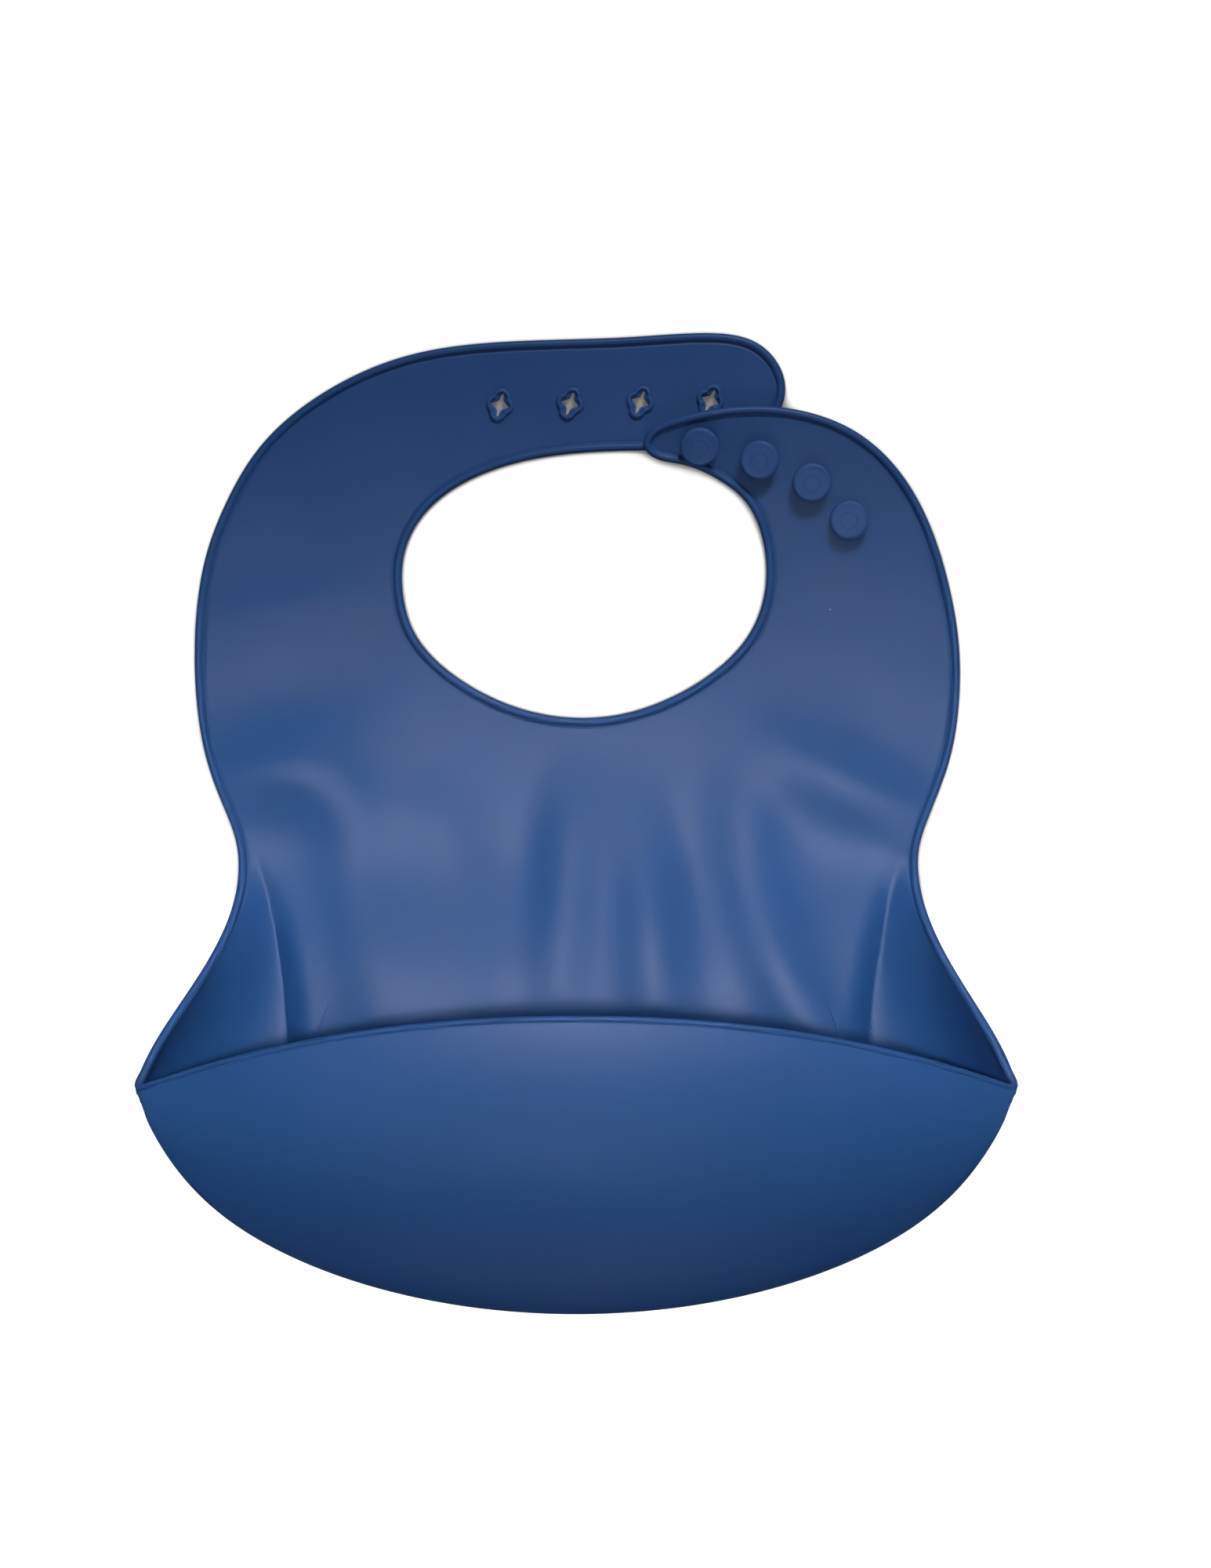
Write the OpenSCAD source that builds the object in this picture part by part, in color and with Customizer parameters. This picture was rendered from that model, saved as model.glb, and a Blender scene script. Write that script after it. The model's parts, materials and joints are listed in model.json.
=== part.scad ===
// Moulded silicone feeding bib, lying on its back with the pocket facing up.
// +Z points up, +Y from the pocket to the neck straps, +X to the right.
// The origin is the middle of the footprint, on the surface that the bib lies on.

/* [Sheet] */
// Thickness of the moulded sheet
sheet_t = 1.4; // [1.2:0.1:1.6]
// Height of the rounded bead above the sheet, along every free edge
bead_h = 1; // [0.6:0.1:1.2]
// Width of that bead
bead_w = 2.2; // [1.8:0.1:2.6]

/* [Pocket] */
// Width across the two corners of the pocket
pocket_w = 230; // [224:1:236]
// Height of the middle of the pocket's rim
rim_h = 50; // [44:1:54]
// Height of the two corners of the pocket
corner_h = 28; // [25:1:32]
// Height at which the bottom of the pocket bulges furthest
bulge_h = 9; // [7:1:12]
// Width of the flat back between the creases of the two wings
crease_w = 154; // [150:1:158]
// Width of the part of the front that flexes as the mouth opens
flap_w = 100; // [90:1:110]
// Height of the lip along the rim of the pocket
lip_h = 0.6; // [0.4:0.1:0.8]

/* [Body] */
// Width at the waist, where the wings begin
waist_w = 182.4; // [180:0.2:185]
// Width of the chest and of the shoulders above it
chest_w = 205; // [203:0.5:207]

/* [Fastening] */
// Distance from one strap hole to the next
hole_pitch = 18.8; // [18.4:0.1:19]
// Length of a strap hole from point to point
hole_l = 6.5; // [6:0.1:7]
// Width of a strap hole from point to point
hole_w = 5; // [4.6:0.1:5.4]
// Diameter of a button's head
head_d = 10.4; // [9.8:0.1:10.8]
// Diameter of a button's stem
stem_d = 5; // [4.6:0.1:5.4]
// Height of a button's stem under the head
stem_h = 2; // [1.8:0.1:2.4]
// Thickness of a button's head
head_t = 2.2; // [2:0.1:2.6]

/* [Hidden] */

silicone = [0.2, 0.33, 0.56];
silicone_edge = [0.17, 0.29, 0.5];

// Gap between two neighbours that flex against each other
gap = 0.4;
// Gap between the flexing front of the pocket and what surrounds it
flap_gap = 1;
// Free height left between the two overlapping straps
lay_gap = 0.4;

// Lines across the bib where it flexes
waist_y = -10;
shoulder_y = 46;
lift_y = 70;
swing_y = 78;

// Pocket outline: the corners sit at corner_y, and the bottom pocket_drop below them
corner_y = -69;
pocket_drop = 62;
floor_drop = 41;
rim_y = -49;
front_y = -112;
crease_flare = 9;
crease_round = 0.2;
cheek_end = 0.9;
// How fast the wings spread and rise from the waist, and the outline rises to the corners
wing_spread = 0.78;
wing_lift = 0.75;
corner_lift = 7;
// How much the rim bows towards the neck in the middle
rim_bow = 2.3;
// How far the sides run straight inwards below the corners, as a share of half the width
corner_trim = 0.113;
// Roundness of the front: 1 is an ellipse in section, 0 a parabola
dome_round = 0.45;
// Small clearances between curved patches that meet along an edge
seam = 0.3;
seam_share = 0.01;
base_end = 0.985;
seam_end = 0.95;
wing_bead_first = 1.03;
// Where the lips begin, as a share of the way from the bottom of the front to the rim
lip_start = 0.965;

base_steps = 32;
wing_steps = 10;
flap_steps = 12;
cheek_steps = 14;
wall_steps = 8;
curve_steps = 4;

// The hole strap is the lower one: round its outer edge, its tip and back along the neck
left_outline = [
    [-waist_w / 2, waist_y - 8], [-waist_w / 2, waist_y], [-95, 4], [-99.7, 18],
    [-chest_w / 2, 36], [-101.9, 54], [-99.6, 70], [-94.6, 84], [-86.5, 98.5],
    [-75, 110], [-58, 120.5], [-38, 126.8], [-12, 129], [14, 129.8], [38, 131],
    [50, 127.5], [56, 118], [53, 107.5], [42, 101.2], [24, 99.5], [4, 99.2],
    [-14, 96.8], [-30, 91], [-40.5, 83.5], [-45.8, 73], [-46.5, 62], [-43.5, 51],
    [-35.5, 41.5], [-22, 33], [-8, 28.5], [8, 28], [24, 32.7], [38, 40.8],
    [47, 51], [51, 64], [50.2, 76.5]
];
right_outline = [
    [97, 76.5], [100, 68], [101.9, 54], [chest_w / 2, 36], [99.7, 18],
    [95, 4], [waist_w / 2, waist_y], [waist_w / 2, waist_y - 8]
];
// The button strap is the upper one
button_outline = [
    [51, 62], [50.2, 76.5], [45.8, 86.5], [37, 92.5], [28, 96.2], [20.5, 98.3],
    [18, 101.5], [20, 105], [27, 108.3], [39, 110.8], [53, 111], [66, 108.2],
    [76.5, 103.5], [86, 94.5], [92.5, 84], [97, 73.5], [100, 62]
];
button_places = [[33, 100.5], [49, 97], [63, 91], [73, 81]];
first_hole = [-20.4, 111.7];
hole_rise = 0.4;
hole_turn = [-14, -17, -20, -23];
// A hole is a low diamond crossed by a narrow slit; its rim is four lobes round a disc
hole_waist = 1.75;
slit_half = 0.55;
lobe_inset = 1;
rim_border = 1.3;
rim_disc = 2.6;
rim_height = 0.8;
// Chamfers under and over a button's head
head_under = 0.6;
head_over = 0.9;
// Half the width of the stretch of the neck whose bead belongs to the chest
neck_half = 60;

// The upper strap rises from its hinge line just enough to clear the lower one
overlap_y = 99;
strap_tilt = atan((sheet_t + bead_h + lay_gap) / (overlap_y - lift_y));

function curve_at(p, i, t) =
    let (a = p[max(i - 1, 0)], b = p[i], c = p[i + 1], d = p[min(i + 2, len(p) - 1)])
    ((2 * b) + (c - a) * t + (2 * a - 5 * b + 4 * c - d) * t * t
        + (3 * b - a - 3 * c + d) * t * t * t) / 2;

function curve(p) = [
    for (i = [0:len(p) - 2], k = [0:curve_steps - 1]) curve_at(p, i, k / curve_steps),
    p[len(p) - 1]
];

// The skin of the pocket. Station 0 is the middle of the bottom, 1 or -1 a corner of the
// pocket, and 2 or -2 the waist, where each wing begins.
function side(u) = u < 0 ? -1 : 1;
function turn(u) = 90 * min(abs(u), 1);
function climb(u) = max(abs(u) - 1, 0);
function outline_x(u) = climb(u) > 0
    ? (waist_w + (pocket_w - waist_w) * (1 + cos(180 * pow(climb(u), wing_spread))) / 2) / 2
    : pocket_w / 2 * (sin(turn(u)) - corner_trim * cos(turn(u)) * pow(sin(turn(u)), 10));
function outline_y(u) = climb(u) > 0
    ? corner_y + (waist_y - corner_y) * climb(u)
    : corner_y - pocket_drop * cos(turn(u));
function outline_z(u) = climb(u) > 0
    ? corner_h * pow(sin(90 * pow(1 - climb(u), wing_lift)), 2)
    : bulge_h + (corner_h - bulge_h) * pow(sin(turn(u)), corner_lift);
function floor_x(u) = climb(u) > 0
    ? crease_w / 2 + crease_flare * pow(climb(u), 2)
    : crease_w / 2 * sin(turn(u));
function floor_y(u) = climb(u) > 0 ? outline_y(u) : corner_y - floor_drop * cos(turn(u));
function rim_place(u) = [
    side(u) * outline_x(u),
    rim_y - (rim_y - corner_y) * pow(sin(turn(u)), rim_bow),
    rim_h - (rim_h - corner_h) * pow(sin(turn(u)), 2)
];

// From the flat back (v = 0) out and up to the outline (v = 1). The bowl is round in
// section, and the wings are straight with a rounded crease.
function ramp(v) = (sqrt(v * v + crease_round * crease_round) - crease_round)
    / (sqrt(1 + crease_round * crease_round) - crease_round);
function lower_skin(u, v) =
    let (
        round = 1 - climb(u),
        out = (1 - round) * v + round * sin(90 * v),
        rise = (1 - round) * ramp(v) + round * (1 - cos(90 * v))
    )
    [
        side(u) * (floor_x(u) + (outline_x(u) - floor_x(u)) * out),
        floor_y(u) + (outline_y(u) - floor_y(u)) * out,
        outline_z(u) * rise
    ];

// From the outline (t = 0) over the domed front to the rim (t = 1)
function upper_skin(u, t) =
    let (rim = rim_place(u), dome = dome_round * sin(90 * t) + (1 - dome_round) * pow(sin(90 * t), 2))
    [
        rim.x,
        outline_y(u) + (rim.y - outline_y(u)) * (1 - cos(90 * t)),
        outline_z(u) + (rim.z - outline_z(u)) * dome
    ];

// Where the flexing front begins, as a share of the way to the rim
function front_start(u, y) = acos(1 - (y - outline_y(u)) / (rim_place(u).y - outline_y(u))) / 90;

function wing_bead_start(u) = 1 - bead_w / norm([
    outline_x(u) - floor_x(u), outline_z(u)
]);

function skin(part, u, v) =
    part == "lower" ? lower_skin(u, v)
    : part == "upper" ? upper_skin(u, v)
    : part == "toe" ? upper_skin(u, v * front_start(u, front_y - flap_gap / 2))
    : part == "front"
        ? upper_skin(u, v + (1 - v) * front_start(u, front_y + flap_gap / 2))
    : lower_skin(u, v + (1 - v) * wing_bead_start(u));

function unit(p) = p / norm(p);
function inward(part, u, v) =
    let (step = 0.001)
    unit(cross(
        skin(part, u, v + step) - skin(part, u, v - step),
        skin(part, u + step, v) - skin(part, u - step, v)
    ));

// Where the base and the front meet, both walls end on the plane half-way between them
function mitre(u) =
    let (a = inward("lower", u, 1), b = inward("upper", u, 0), half = unit(a + b))
    half / (half * a);
function on_seam(part, u, v) =
    abs(u) < seam_end
        && ((part == "lower" && v == base_end) || (part == "upper" && v <= seam_share));
function depth_way(part, u, v) = on_seam(part, u, v) ? mitre(u) : inward(part, u, v);

// A closed patch of the skin between two depths under its outer face
module skin_patch(part, u0, u1, nu, v0, v1, nv, depth0, depth1) {
    points = [
        for (depth = [depth0, depth1], i = [0:nu], j = [0:nv])
            let (u = u0 + (u1 - u0) * i / nu, v = v0 + (v1 - v0) * j / nv)
            skin(part, u, v) + depth * depth_way(part, u, v)
    ];
    layer = (nu + 1) * (nv + 1);
    function at(i, j, k) = k * layer + i * (nv + 1) + j;
    function two(a, b, c, d) = [[a, b, c], [a, c, d]];
    faces = [
        for (i = [0:nu - 1], j = [0:nv - 1])
            each two(at(i, j, 0), at(i, j + 1, 0), at(i + 1, j + 1, 0), at(i + 1, j, 0)),
        for (i = [0:nu - 1], j = [0:nv - 1])
            each two(at(i, j, 1), at(i + 1, j, 1), at(i + 1, j + 1, 1), at(i, j + 1, 1)),
        for (i = [0:nu - 1])
            each two(at(i, 0, 0), at(i + 1, 0, 0), at(i + 1, 0, 1), at(i, 0, 1)),
        for (i = [0:nu - 1])
            each two(at(i, nv, 0), at(i, nv, 1), at(i + 1, nv, 1), at(i + 1, nv, 0)),
        for (j = [0:nv - 1])
            each two(at(0, j + 1, 0), at(0, j, 0), at(0, j, 1), at(0, j + 1, 1)),
        for (j = [0:nv - 1])
            each two(at(nu, j, 0), at(nu, j + 1, 0), at(nu, j + 1, 1), at(nu, j, 1))
    ];
    polyhedron(points, faces, convexity = 6);
}

waist_end = 2 - gap / 2 / (waist_y - corner_y);
flap_turn = asin(flap_w / pocket_w) / 90;
cheek_turn = asin((flap_w + 2 * flap_gap) / pocket_w) / 90;

module yoke_shape() {
    polygon(concat(curve(left_outline), curve(right_outline)));
}

module button_strap_shape() {
    polygon(curve(button_outline));
}

module edge_of(width) {
    difference() {
        children();
        offset(delta = -width) children();
    }
}

module within(x0, x1, y0, y1) {
    intersection() {
        children();
        translate([x0, y0]) square([x1 - x0, y1 - y0]);
    }
}

module sheet() {
    linear_extrude(sheet_t) children();
}

module bead() {
    translate([0, 0, sheet_t]) linear_extrude(bead_h) children();
}

module on_button_strap() {
    translate([0, lift_y, 0]) rotate([strap_tilt, 0, 0]) translate([0, -lift_y, 0]) children();
}

// Four-pointed hole with hollow sides
function hole_reach(a) =
    let (
        diamond = 1 / (abs(cos(a)) / (hole_w / 2) + abs(sin(a)) / hole_waist),
        slit = 1 / norm([cos(a) / slit_half, sin(a) / (hole_l / 2)])
    )
    pow(pow(diamond, 8) + pow(slit, 8), 1 / 8);

module hole_shape() {
    polygon([for (a = [0:7.5:352.5]) hole_reach(a) * [cos(a), sin(a)]]);
}

module at_hole(i) {
    translate([first_hole.x + i * hole_pitch, first_hole.y + i * hole_rise])
        rotate(hole_turn[i])
            children();
}

module rim_shape() {
    for (a = [0:90:270]) {
        reach = (a % 180 == 0 ? hole_w : hole_l) / 2 - lobe_inset;
        translate([reach * cos(a), reach * sin(a)]) circle(r = lobe_inset + rim_border, $fn = 32);
    }
    circle(r = rim_disc, $fn = 32);
}

module hole_rim(i) {
    color(silicone_edge)
        translate([0, 0, sheet_t])
            linear_extrude(rim_height)
                at_hole(i)
                    difference() {
                        rim_shape();
                        hole_shape();
                    }
}

module button(i) {
    head_r = head_d / 2;
    top = stem_h + head_t;
    color(silicone)
        on_button_strap()
            translate([button_places[i].x, button_places[i].y, sheet_t])
                rotate_extrude($fn = 48)
                    polygon([
                        [0, 0], [stem_d / 2, 0], [stem_d / 2, stem_h],
                        [head_r - head_under, stem_h], [head_r, stem_h + head_under],
                        [head_r, top - head_over], [head_r - head_over / 3, top - head_over / 3],
                        [head_r - head_over, top], [0, top]
                    ]);
}

module chest_cut(x0, x1) {
    within(x0, x1, waist_y + gap / 2, shoulder_y - gap / 2) children();
}

module chest_panel() {
    color(silicone) sheet() chest_cut(-pocket_w, pocket_w) yoke_shape();
}

module chest_left_bead() {
    color(silicone_edge) bead() chest_cut(-pocket_w, -neck_half) edge_of(bead_w) yoke_shape();
}

module chest_right_bead() {
    color(silicone_edge) bead() chest_cut(neck_half, pocket_w) edge_of(bead_w) yoke_shape();
}

module neck_bead() {
    color(silicone_edge) bead() chest_cut(-neck_half, neck_half) edge_of(bead_w) yoke_shape();
}

module left_shoulder_cut() {
    within(-pocket_w, 0, shoulder_y + gap / 2, swing_y - gap / 2) children();
}

module right_shoulder_cut() {
    within(0, pocket_w, shoulder_y + gap / 2, lift_y - gap / 2) children();
}

module left_shoulder() {
    color(silicone) sheet() left_shoulder_cut() yoke_shape();
}

module right_shoulder() {
    color(silicone) sheet() right_shoulder_cut() yoke_shape();
}

module left_shoulder_beads() {
    color(silicone_edge) bead() left_shoulder_cut() edge_of(bead_w) yoke_shape();
}

module right_shoulder_beads() {
    color(silicone_edge) bead() right_shoulder_cut() edge_of(bead_w) yoke_shape();
}

module hole_strap_cut() {
    within(-pocket_w, pocket_w, swing_y + gap / 2, pocket_w) children();
}

module hole_strap() {
    color(silicone)
        sheet()
            difference() {
                hole_strap_cut() yoke_shape();
                for (i = [0:3]) at_hole(i) hole_shape();
            }
}

module hole_strap_bead() {
    color(silicone_edge) bead() hole_strap_cut() edge_of(bead_w) yoke_shape();
}

module button_strap_cut() {
    within(0, pocket_w, lift_y + gap / 2, pocket_w) children();
}

module button_strap() {
    color(silicone) on_button_strap() sheet() button_strap_cut() button_strap_shape();
}

module button_strap_bead() {
    color(silicone_edge)
        on_button_strap() bead() button_strap_cut() edge_of(bead_w) button_strap_shape();
}

module pocket_back() {
    half = concat(
        [for (i = [0:base_steps / 2]) i / (base_steps / 2)],
        [for (i = [1:wing_steps]) 1 + (waist_end - 1) * i / wing_steps]
    );
    right = [for (u = half) [floor_x(u), floor_y(u)]];
    left = [for (i = [len(half) - 1:-1:1]) [-floor_x(half[i]), floor_y(half[i])]];
    color(silicone) sheet() polygon(concat(right, left));
}

module pocket_base() {
    color(silicone) skin_patch("lower", -1, 1, base_steps, 0, base_end, wall_steps, 0, sheet_t);
}

module pocket_toe() {
    color(silicone)
        skin_patch("toe", -flap_turn, flap_turn, flap_steps, 2 * seam_share, 1, 3, 0, sheet_t);
}

// way is -1 on the left and 1 on the right
module wing(way) {
    color(silicone)
        skin_patch(
            "lower", way < 0 ? -waist_end : 1, way < 0 ? -1 : waist_end, wing_steps,
            0, 1, wall_steps, 0, sheet_t
        );
}

module wing_bead(way) {
    color(silicone_edge)
        skin_patch(
            "wing bead", way < 0 ? -waist_end : wing_bead_first,
            way < 0 ? -wing_bead_first : waist_end, wing_steps,
            0, 1, 1, sheet_t + seam, sheet_t + bead_h
        );
}

module cheek(way) {
    color(silicone)
        skin_patch(
            "upper", way < 0 ? -cheek_end : cheek_turn, way < 0 ? -cheek_turn : cheek_end,
            cheek_steps, seam_share, 1, wall_steps, 0, sheet_t
        );
}

module cheek_lip(way) {
    color(silicone_edge)
        skin_patch(
            "upper", way < 0 ? -cheek_end : cheek_turn, way < 0 ? -cheek_turn : cheek_end,
            cheek_steps, lip_start, 1, 1, -lip_h, 0
        );
}

module pocket_front() {
    color(silicone)
        skin_patch("front", -flap_turn, flap_turn, flap_steps, 0, 1, wall_steps, 0, sheet_t);
}

module pocket_lip() {
    color(silicone_edge)
        skin_patch("front", -flap_turn, flap_turn, flap_steps, lip_start, 1, 1, -lip_h, 0);
}

chest_panel();
chest_left_bead();
chest_right_bead();
neck_bead();
left_shoulder();
right_shoulder();
left_shoulder_beads();
right_shoulder_beads();
hole_strap();
hole_strap_bead();
hole_rim(0);  // hole_rim_1
hole_rim(1);  // hole_rim_2
hole_rim(2);  // hole_rim_3
hole_rim(3);  // hole_rim_4
button_strap();
button_strap_bead();
button(0);  // button_1
button(1);  // button_2
button(2);  // button_3
button(3);  // button_4
pocket_back();
pocket_base();
pocket_toe();
wing(-1);  // left_wing
wing(1);  // right_wing
wing_bead(-1);  // left_wing_bead
wing_bead(1);  // right_wing_bead
cheek(-1);  // left_cheek
cheek(1);  // right_cheek
cheek_lip(-1);  // left_cheek_lip
cheek_lip(1);  // right_cheek_lip
pocket_front();
pocket_lip();
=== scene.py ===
"""Looks of the moulded silicone bib: one smooth skin, split where it bends, with its buttons and hole rims.

Lengths are in millimetres in the frame's axes and become metres where a mesh is made.
"""

import json

import bpy
import numpy as np
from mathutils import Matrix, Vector, kdtree

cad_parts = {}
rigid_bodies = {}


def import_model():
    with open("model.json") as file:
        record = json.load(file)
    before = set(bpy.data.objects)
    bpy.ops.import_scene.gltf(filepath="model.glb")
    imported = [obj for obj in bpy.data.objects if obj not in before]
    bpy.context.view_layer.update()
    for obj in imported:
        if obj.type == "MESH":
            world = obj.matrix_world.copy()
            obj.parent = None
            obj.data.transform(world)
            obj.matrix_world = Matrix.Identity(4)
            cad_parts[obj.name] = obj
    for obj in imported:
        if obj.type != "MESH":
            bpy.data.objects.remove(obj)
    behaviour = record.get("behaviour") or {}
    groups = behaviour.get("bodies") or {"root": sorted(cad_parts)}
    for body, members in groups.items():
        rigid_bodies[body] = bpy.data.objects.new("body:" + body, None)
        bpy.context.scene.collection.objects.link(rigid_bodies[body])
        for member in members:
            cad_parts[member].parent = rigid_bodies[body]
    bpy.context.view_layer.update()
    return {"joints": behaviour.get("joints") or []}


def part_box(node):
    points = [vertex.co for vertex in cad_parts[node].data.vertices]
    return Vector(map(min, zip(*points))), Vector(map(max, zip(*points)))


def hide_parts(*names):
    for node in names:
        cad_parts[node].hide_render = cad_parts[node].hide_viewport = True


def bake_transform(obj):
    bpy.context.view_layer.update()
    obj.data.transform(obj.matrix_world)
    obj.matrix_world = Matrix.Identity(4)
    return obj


MM = 0.001

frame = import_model()


# ---------------------------------------------------------------- sizes taken from the frame


def cad_box(node):
    """The lowest and highest corner of a CAD node, in millimetres."""
    low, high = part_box(node)
    return np.array(low) / MM, np.array(high) / MM


JOINTS = {joint["name"]: joint for joint in frame["joints"]}


def joint_point(name):
    return np.array(JOINTS[name]["pos_m"]) / MM


SHEET_T = cad_box("chest_panel")[1][2]
BEAD_TOP = cad_box("neck_bead")[1][2]
BEAD_W = 2.2
CORNER_X = cad_box("pocket_base")[1][0]
CORNER_Y = cad_box("pocket_base")[1][1]
BOTTOM_Y = cad_box("pocket_base")[0][1]
CORNER_Z = cad_box("pocket_base")[1][2]
RIM_Y = cad_box("pocket_front")[1][1]
RIM_Z = cad_box("pocket_front")[1][2]
FLOOR_Y = cad_box("pocket_back")[0][1]
WAIST_Y = joint_point("waist_fold")[1]
LIFT_Y = joint_point("button_strap_lift")[1]
WAIST_X = 91.2
CREASE_X = 77.0
CREASE_FLARE = 9.0
CREASE_ROUND = 0.2
CREASE_DEPTH = 4.6
CREASE_STRIP = 7.0
BULGE_Z = 9.0
# How fast the wings spread and rise from the waist, and the outline rises to the corners
WING_SPREAD = 0.78
WING_LIFT = 0.75
CORNER_LIFT = 7
# How far the sides run straight inwards below the corners, as a share of half the width
CORNER_TRIM = 0.113
RIM_BOW = 2.15
# Roundness of the front: 1 is an ellipse in section, 0 a parabola
DOME_ROUND = 0.45

# The free edge in plan, from the left waist up round the hole strap, round the neck,
# round the button strap and down to the right waist
FREE_EDGE = np.array([
    (-91.2, -10), (-94.6, 4), (-99.4, 18), (-102.1, 36), (-101.9, 54), (-99.6, 70), (-94.6, 84),
    (-86.5, 98.3), (-75, 110), (-58, 120.3), (-38, 126.6), (-12, 129), (14, 129.9), (36, 131),
    (49.5, 127.8), (56, 118), (53.4, 108.5), (44, 102.6), (32, 100), (16, 99.5), (0, 98.8),
    (-16, 96.2), (-30, 90.9), (-40.3, 83), (-45.8, 73), (-46.6, 62), (-43.6, 51), (-35.6, 41.4),
    (-22.5, 33.2), (-8, 28.6), (8, 28.1), (24, 32.6), (38, 41), (47.2, 51.5), (51, 64),
    (50, 76), (45.3, 86), (37, 92.6), (28, 96), (20.8, 97.7), (18, 101.3), (20, 105.2),
    (27.5, 108.4), (39, 110.7), (53, 111), (66, 108.4), (76.7, 103.2), (86, 94.6), (92.8, 84),
    (97.6, 72), (101.4, 57), (103, 42), (102.2, 27), (99.6, 15), (94.8, 3), (91.2, -10),
], float)
HOLE_TIP, BUTTON_TIP, RIGHT_WAIST = 15, 40, 55
# Matching places on the outer and the neck side, as positions along FREE_EDGE
LEFT_PAIRS = [
    (15, 15), (14.3, 15.8), (13.4, 16.8), (12, 18.8), (11, 20), (10, 21), (9, 21.9), (8, 22.7),
    (7, 23.4), (6, 24.1), (5, 24.7), (4, 25.3), (3, 25.9), (2, 26.4), (1, 26.8), (0, 27.2),
]
RIGHT_PAIRS = [
    (55, 31.6), (54, 31.95), (53, 32.3), (52, 32.65), (51, 33.05), (50, 33.55), (49, 34),
    (48, 34.4), (47, 34.8), (46, 35.2), (45, 35.7), (44, 36.3), (43, 37.1), (42, 38.1),
    (41, 39.3), (40, 40),
]
# Where the spokes that end on the pocket start on the neck: station of the pocket, place
POCKET_PAIRS = [(-2, 27.2), (-1, 27.9), (0, 29.5), (1, 30.95), (2, 31.6)]

STRAP_SPOKES = 150
WING_SPOKES = 34
RIM_SPOKES = 132
SHOULDER_SPOKES = 110
CROSS_STEPS = 92


# ---------------------------------------------------------------- small helpers


def smooth_step(x):
    x = np.clip(x, 0, 1)
    return x * x * (3 - 2 * x)


def bell(x, middle, width):
    return np.exp(-(((x - middle) / width) ** 2))


def spline(points):
    """A smooth curve through points that starts straight up and ends straight down, as a
    function of the position along the list."""
    points = np.asarray(points, float)
    count = len(points)
    sizes = np.linalg.norm(np.diff(points, axis=0), axis=1)
    knots = np.concatenate([[0], np.cumsum(sizes**0.5)])
    h = np.diff(knots)
    slopes = np.diff(points, axis=0) / h[:, None]
    ends = np.array([(0, sizes[0] / h[0]), (0, -sizes[-1] / h[-1])])
    system = np.zeros((count, count))
    right = np.zeros_like(points)
    for i in range(1, count - 1):
        system[i, i - 1 : i + 2] = h[i - 1], 2 * (h[i - 1] + h[i]), h[i]
        right[i] = 6 * (slopes[i] - slopes[i - 1])
    system[0, :2], right[0] = (2 * h[0], h[0]), 6 * (slopes[0] - ends[0])
    system[-1, -2:], right[-1] = (h[-1], 2 * h[-1]), 6 * (ends[1] - slopes[-1])
    bend = np.linalg.solve(system, right)

    def curve(place):
        place = np.atleast_1d(np.asarray(place, float))
        t = np.interp(place, np.arange(count), knots)
        i = np.clip(np.searchsorted(knots, t, side="right") - 1, 0, count - 2)
        a = ((knots[i + 1] - t) / h[i])[:, None]
        b = 1 - a
        curved = (a**3 - a) * bend[i] + (b**3 - b) * bend[i + 1]
        return a * points[i] + b * points[i + 1] + curved * (h[i] ** 2)[:, None] / 6

    return curve


def even_places(curve, first, last, count):
    """Positions from first to last that are evenly far apart along a curve."""
    fine = np.linspace(first, last, 4000)
    steps = np.linalg.norm(np.diff(curve(fine), axis=0), axis=1)
    length = np.concatenate([[0], np.cumsum(steps)])
    return np.interp(np.linspace(0, length[-1], count), length, fine)


def unit(v):
    return v / np.maximum(np.linalg.norm(v, axis=-1, keepdims=True), 1e-12)


# ---------------------------------------------------------------- the pocket's skin
# Station 0 is the middle of the bottom, -1 and 1 the corners, -2 and 2 the waist.


def climb(u):
    return np.clip(np.abs(u) - 1, 0, 1)


def turn(u):
    return np.pi / 2 * np.minimum(np.abs(u), 1)


def outline(u):
    """The widest line round the pocket, and the free edge of each wing."""
    c, a, side = climb(u), turn(u), np.sign(u)
    wing = abs(u) > 1
    x_wing = WAIST_X + (CORNER_X - WAIST_X) * (1 + np.cos(np.pi * c**WING_SPREAD)) / 2
    x_bottom = CORNER_X * (np.sin(a) - CORNER_TRIM * np.cos(a) * np.sin(a) ** 10)
    x = x_wing if wing else x_bottom
    y_bottom = CORNER_Y - (CORNER_Y - BOTTOM_Y) * np.cos(a)
    y = CORNER_Y + (WAIST_Y - CORNER_Y) * c if wing else y_bottom
    z_bottom = BULGE_Z + (CORNER_Z - BULGE_Z) * np.sin(a) ** CORNER_LIFT
    z = CORNER_Z * np.sin(np.pi / 2 * (1 - c) ** WING_LIFT) ** 2 if wing else z_bottom
    return np.array([side * x, y, z])


def floor_edge(u):
    """Where the flat back ends, along the creases and round the bottom."""
    c, a, side = climb(u), turn(u), np.sign(u)
    if abs(u) > 1:
        return np.array([side * (CREASE_X + CREASE_FLARE * c**2), outline(u)[1], 0])
    return np.array([side * CREASE_X * np.sin(a), CORNER_Y - (CORNER_Y - FLOOR_Y) * np.cos(a), 0])


def rim(u):
    a = turn(u)
    x = outline(u)[0]
    share = abs(x) / CORNER_X
    return np.array([
        x,
        RIM_Y - (RIM_Y - CORNER_Y) * share**RIM_BOW,
        RIM_Z - (RIM_Z - CORNER_Z) * share**2,
    ])


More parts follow.
